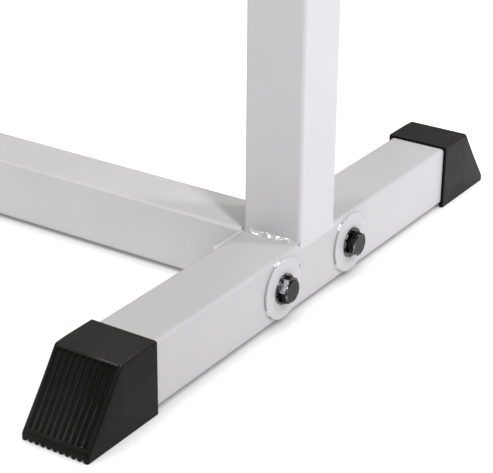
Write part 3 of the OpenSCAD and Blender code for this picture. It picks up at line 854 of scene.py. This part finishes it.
def add_springs():
    """Coil springs of the pull pins, each with a mesh of its own."""
    along = Vector((1, 0, 0))
    for side, end in ((1, "right"), (-1, "left")):
        lo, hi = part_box("pin_spring_" + end)
        length = hi.x - lo.x
        inner, outer = (lo.x, hi.x) if side > 0 else (hi.x, lo.x)
        height = (lo.z + hi.z) / 2
        loops = []
        for i in range(COIL_STEPS + 1):
            turn = 2 * math.pi * COIL_TURNS * i / COIL_STEPS
            radial = Vector((0, math.cos(turn), math.sin(turn)))
            x = inner + side * (COIL_WIRE / 2 + (length - COIL_WIRE) * i / COIL_STEPS)
            centre = Vector((x, 0, height)) + COIL_D / 2 * radial
            turns = [2 * math.pi * k / 10 for k in range(10)]
            ring = [math.cos(u) * radial + math.sin(u) * along for u in turns]
            loops.append([centre + COIL_WIRE / 2 * way for way in ring])
        bm = bmesh.new()
        loft(bm, loops)
        name = "pin_coil_" + end
        piece = add_piece(name, mesh_from(name, bm, 180), "base",
                          MATERIALS["spring_steel"], ["pin_spring_" + end])
        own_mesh(piece)


# ---- padded cover ----

COVER_T = 1.2 * MM
FLAP_OPEN_W = 62 * MM
FLAP_OPEN_INSET = 35 * MM
STAPLE_PITCH = 60 * MM
VOXEL = 6 * MM
SWELL = 3.2 * MM
SEAM_INSET = 5.0 * MM
SEAM_HOLD = 3.2 * MM
SEAM_WIDTH = 2.6 * MM
NIP = 0.7 * MM
NIP_WIDTH = 1.2 * MM
TUCK = 0.55 * MM
TUCK_REACH = 26 * MM
WANDER = 0.2 * MM
# Roundings of the cover, kept small enough at the ends and below to stay clear of the square foam
TOP_R = 11 * MM
LOW_R = 2.4 * MM
END_R = 2.4 * MM
LEAST_R = 0.8 * MM
STATION_STEP = 6 * MM
STITCH_PITCH = 6.5 * MM
STITCH_L = 4.6 * MM
STITCH_R = 0.5 * MM
STITCH_FROM_SEAM = 3.2 * MM
# Place along a stitch, thickness and rise at each of its sections, as shares of its size
STITCH_SHAPE = ((-1.0, 0.15, -0.3), (-0.8, 0.8, 0.1), (0.0, 1.0, 0.35), (0.8, 0.8, 0.1), (1.0, 0.15, -0.3))


def rounded_loop(half_w, low, high, top_r, low_r):
    """Section of the cover as (y, z) points: four rounded corners with evenly stepped flats between them."""
    arcs = []
    for cx, cz, r, start in ((half_w - low_r, low + low_r, low_r, -90),
                             (half_w - top_r, high - top_r, top_r, 0),
                             (top_r - half_w, high - top_r, top_r, 90),
                             (low_r - half_w, low + low_r, low_r, 180)):
        turns = [math.radians(start + 90 * i / 8) for i in range(9)]
        arcs.append([(cx + r * math.cos(a), cz + r * math.sin(a)) for a in turns])
    loop = []
    for arc, after, count in zip(arcs, arcs[1:] + arcs[:1], (20, 16, 20, 16)):
        (y0, z0), (y1, z1) = arc[-1], after[0]
        loop += arc
        for i in range(1, count + 1):
            loop.append((y0 + (y1 - y0) * i / (count + 1), z0 + (z1 - z0) * i / (count + 1)))
    return loop


def cover_stations(half_l):
    """Sections as (x, inset): across one end, round its edge, close together at the seam, along, and back."""
    near = [(0.0, d * MM) for d in range(44, 2, -5)]
    for i in range(5):
        a = math.radians(90 * i / 4)
        near.append((END_R * (1 - math.cos(a)), END_R * (1 - math.sin(a))))
    near += [(SEAM_INSET + d * MM, 0.0) for d in (-1.8, -1.1, -0.5, 0.0, 0.5, 1.1, 1.8, 3.0, 5.0, 8.0, 12.0)]
    start = near[-1][0]
    count = round((2 * half_l - 2 * start) / STATION_STEP)
    along = [(start + (2 * half_l - 2 * start) * i / count, 0.0) for i in range(1, count)]
    left = [(-half_l + x, inset) for x, inset in near + along]
    return left + [(half_l - x, inset) for x, inset in reversed(near)]


def remesh(obj, size):
    """Gives the object an even mesh of square faces."""
    modifier = obj.modifiers.new("remesh", "REMESH")
    modifier.mode = "VOXEL"
    modifier.voxel_size = size
    modifier.use_smooth_shade = True
    bpy.context.view_layer.update()
    obj.data = bpy.data.meshes.new_from_object(obj.evaluated_get(bpy.context.evaluated_depsgraph_get()))
    obj.modifiers.clear()


def inflate(obj, held, cap):
    """Swells a closed form as cloth under pressure, all but the held vertices.
    Returns a tree of the form's points, and how far out each one swells, never more than cap."""
    mesh = obj.data
    rest = [v.co.copy() for v in mesh.vertices]
    normals = [v.normal.copy() for v in mesh.vertices]
    group = obj.vertex_groups.new(name="held")
    group.add(held, 1.0, "REPLACE")
    cloth = obj.modifiers.new("cloth", "CLOTH")
    cloth.settings.quality = 5
    cloth.settings.mass = 0.3
    cloth.settings.tension_stiffness = 40
    cloth.settings.compression_stiffness = 40
    cloth.settings.bending_stiffness = 0.6
    cloth.settings.use_pressure = True
    cloth.settings.uniform_pressure_force = 4
    cloth.settings.vertex_group_mass = "held"
    cloth.settings.effector_weights.gravity = 0
    cloth.collision_settings.use_collision = False
    cloth.point_cache.frame_start = 1
    cloth.point_cache.frame_end = 20
    for step in range(1, 21):
        bpy.context.scene.frame_set(step)
    swollen = obj.evaluated_get(bpy.context.evaluated_depsgraph_get()).to_mesh()
    moves = [swollen.vertices[i].co - rest[i] for i in range(len(rest))]
    obj.modifiers.clear()
    bpy.context.scene.frame_set(1)
    tree = kdtree.KDTree(len(rest))
    for i, co in enumerate(rest):
        tree.insert(co, i)
    tree.balance()
    return tree, [cap * math.tanh(max(0.0, moves[i].dot(normals[i])) / cap) for i in range(len(rest))]


def pull(co, lo, hi, seam_x):
    """Moves a point by the tucks at the staples, a little wander in the hide, and the nip of the seams."""
    co = co.copy()
    tuck = 0.5 + 0.5 * math.cos(2 * math.pi * co.x / STAPLE_PITCH)
    low = max(0.0, 1 - (co.z - lo.z) / TUCK_REACH)
    side = 1 if co.y > 0 else -1
    out = abs(co.y) > 0.9 * hi.y
    wander = noise.noise(Vector((co.x * 9, co.y * 30, co.z * 30)))
    nip = math.exp(-((abs(co.x) - seam_x) / NIP_WIDTH) ** 2)
    if out and co.z > lo.z + 1.5 * MM:
        co.y += side * (TUCK * (1 - tuck) * low + WANDER * wander - NIP * nip)
    if co.z > hi.z - TOP_R:
        co.z += WANDER * wander - NIP * nip
    return co


def add_cover():
    """Suede over foam: swollen between its seams, turned under and held by the staples.
    The swell comes from a remeshed copy, and is laid on a skin that keeps its points on the edges."""
    lo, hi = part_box("beam_cover")
    seam_x = hi.x - SEAM_INSET
    bm = bmesh.new()
    loops = []
    for x, inset in cover_stations(hi.x):
        top_r = max(TOP_R - inset, LEAST_R)
        low_r = max(LOW_R - inset, LEAST_R)
        loop = rounded_loop(hi.y - inset, lo.z + inset, hi.z - inset, top_r, low_r)
        loops.append([(x, y, z) for y, z in loop])
    loft(bm, loops)
    skin = mesh_from("suede_cover", bm)

    form = bpy.data.objects.new("cover_form", skin.copy())
    bpy.context.collection.objects.link(form)
    remesh(form, VOXEL)
    held = []
    for v in form.data.vertices:
        near_seam = abs(abs(v.co.x) - seam_x) < SEAM_HOLD and v.co.z > lo.z + 3 * MM
        if v.co.z < lo.z + 2.5 * MM or near_seam:
            held.append(v.index)
    tree, swell = inflate(form, held, SWELL)
    bpy.data.objects.remove(form)

    swollen = []
    for v in skin.vertices:
        near = tree.find_n(v.co, 4)
        weights = [1 / (distance + 1 * MM) for _, _, distance in near]
        reach = sum(w * swell[i] for w, (_, i, _) in zip(weights, near)) / sum(weights)
        if v.co.z < lo.z + 0.5 * MM:
            reach = 0.0
        reach *= 1 - math.exp(-((abs(v.co.x) - seam_x) / SEAM_WIDTH) ** 2)
        swollen.append(v.co + reach * v.normal)
    for v, co in zip(skin.vertices, swollen):
        v.co = pull(co, lo, hi, seam_x)

    bm = bmesh.new()
    bm.from_mesh(skin)
    half_open = FLAP_OPEN_W / 2
    long_open = hi.x - FLAP_OPEN_INSET
    for axis, offset in ((1, half_open), (1, -half_open), (0, long_open), (0, -long_open)):
        point, normal = Vector((0, 0, 0)), Vector((0, 0, 0))
        point[axis], normal[axis] = offset, 1
        under = [f for f in bm.faces if f.calc_center_median().z < lo.z + 1.0 * MM]
        geom = list({e for f in under for e in f.edges}) + list({v for f in under for v in f.verts}) + under
        bmesh.ops.bisect_plane(bm, geom=geom, plane_co=point, plane_no=normal)
    gone = []
    for f in bm.faces:
        c = f.calc_center_median()
        if c.z < lo.z + 1.0 * MM and abs(c.y) < half_open and abs(c.x) < long_open:
            gone.append(f)
    bmesh.ops.delete(bm, geom=gone, context="FACES")
    bm.to_mesh(skin)
    surface = BVHTree.FromBMesh(bm)
    bm.free()

    shell = bpy.data.objects.new("cover_shell", skin)
    bpy.context.collection.objects.link(shell)
    thick = shell.modifiers.new("thick", "SOLIDIFY")
    thick.thickness = COVER_T
    thick.offset = -1
    bpy.context.view_layer.update()
    mesh = bpy.data.meshes.new_from_object(shell.evaluated_get(bpy.context.evaluated_depsgraph_get()))
    bpy.data.objects.remove(shell)
    for face in mesh.polygons:
        face.use_smooth = True
    mesh.set_sharp_from_angle(angle=math.radians(60))
    piece = add_piece("suede_cover", mesh, "beam", MATERIALS["suede"], ["beam_cover"])
    add_stitches(surface, lo, hi, seam_x)


def add_stitches(surface, lo, hi, seam_x):
    """A row of stitches beside each end seam, laid on the cover round its sides and top."""
    bm = bmesh.new()
    ring = [Vector((0, y, z)) for y, z in rounded_loop(hi.y, lo.z, hi.z, TOP_R, LOW_R)]
    walked, due = 0.0, 0.0
    for a, b in zip(ring, ring[1:]):
        step = (b - a).length
        while due < walked + step:
            at = a.lerp(b, (due - walked) / step)
            due += STITCH_PITCH
            if at.z < lo.z + 6 * MM:
                continue
            for end in (-1, 1):
                near = Vector((end * (seam_x - STITCH_FROM_SEAM), at.y, at.z))
                hit, out, _, _ = surface.find_nearest(near)
                along = Vector((0, b.y - a.y, b.z - a.z)).normalized()
                across = along.cross(out).normalized()
                loops = []
                for t, r, rise in STITCH_SHAPE:
                    centre = hit + along * (t * STITCH_L / 2) + out * (rise * STITCH_R)
                    turns = [2 * math.pi * k / 8 for k in range(8)]
                    ring = [math.cos(u) * across + math.sin(u) * out for u in turns]
                    loops.append([centre + r * STITCH_R * way for way in ring])
                loft(bm, loops)
        walked += step
    add_piece("cover_stitches", mesh_from("cover_stitches", bm, 180), "beam", THREAD)


add_camera()
add_world(WORLD_LIGHT)
for light in LIGHTS:
    add_area_light(*light)
add_floor()
dress_cad_nodes()
add_foot_caps()
add_discs()
add_welds()
add_springs()
add_cover()
bpy.context.scene.view_settings.view_transform = "Standard"
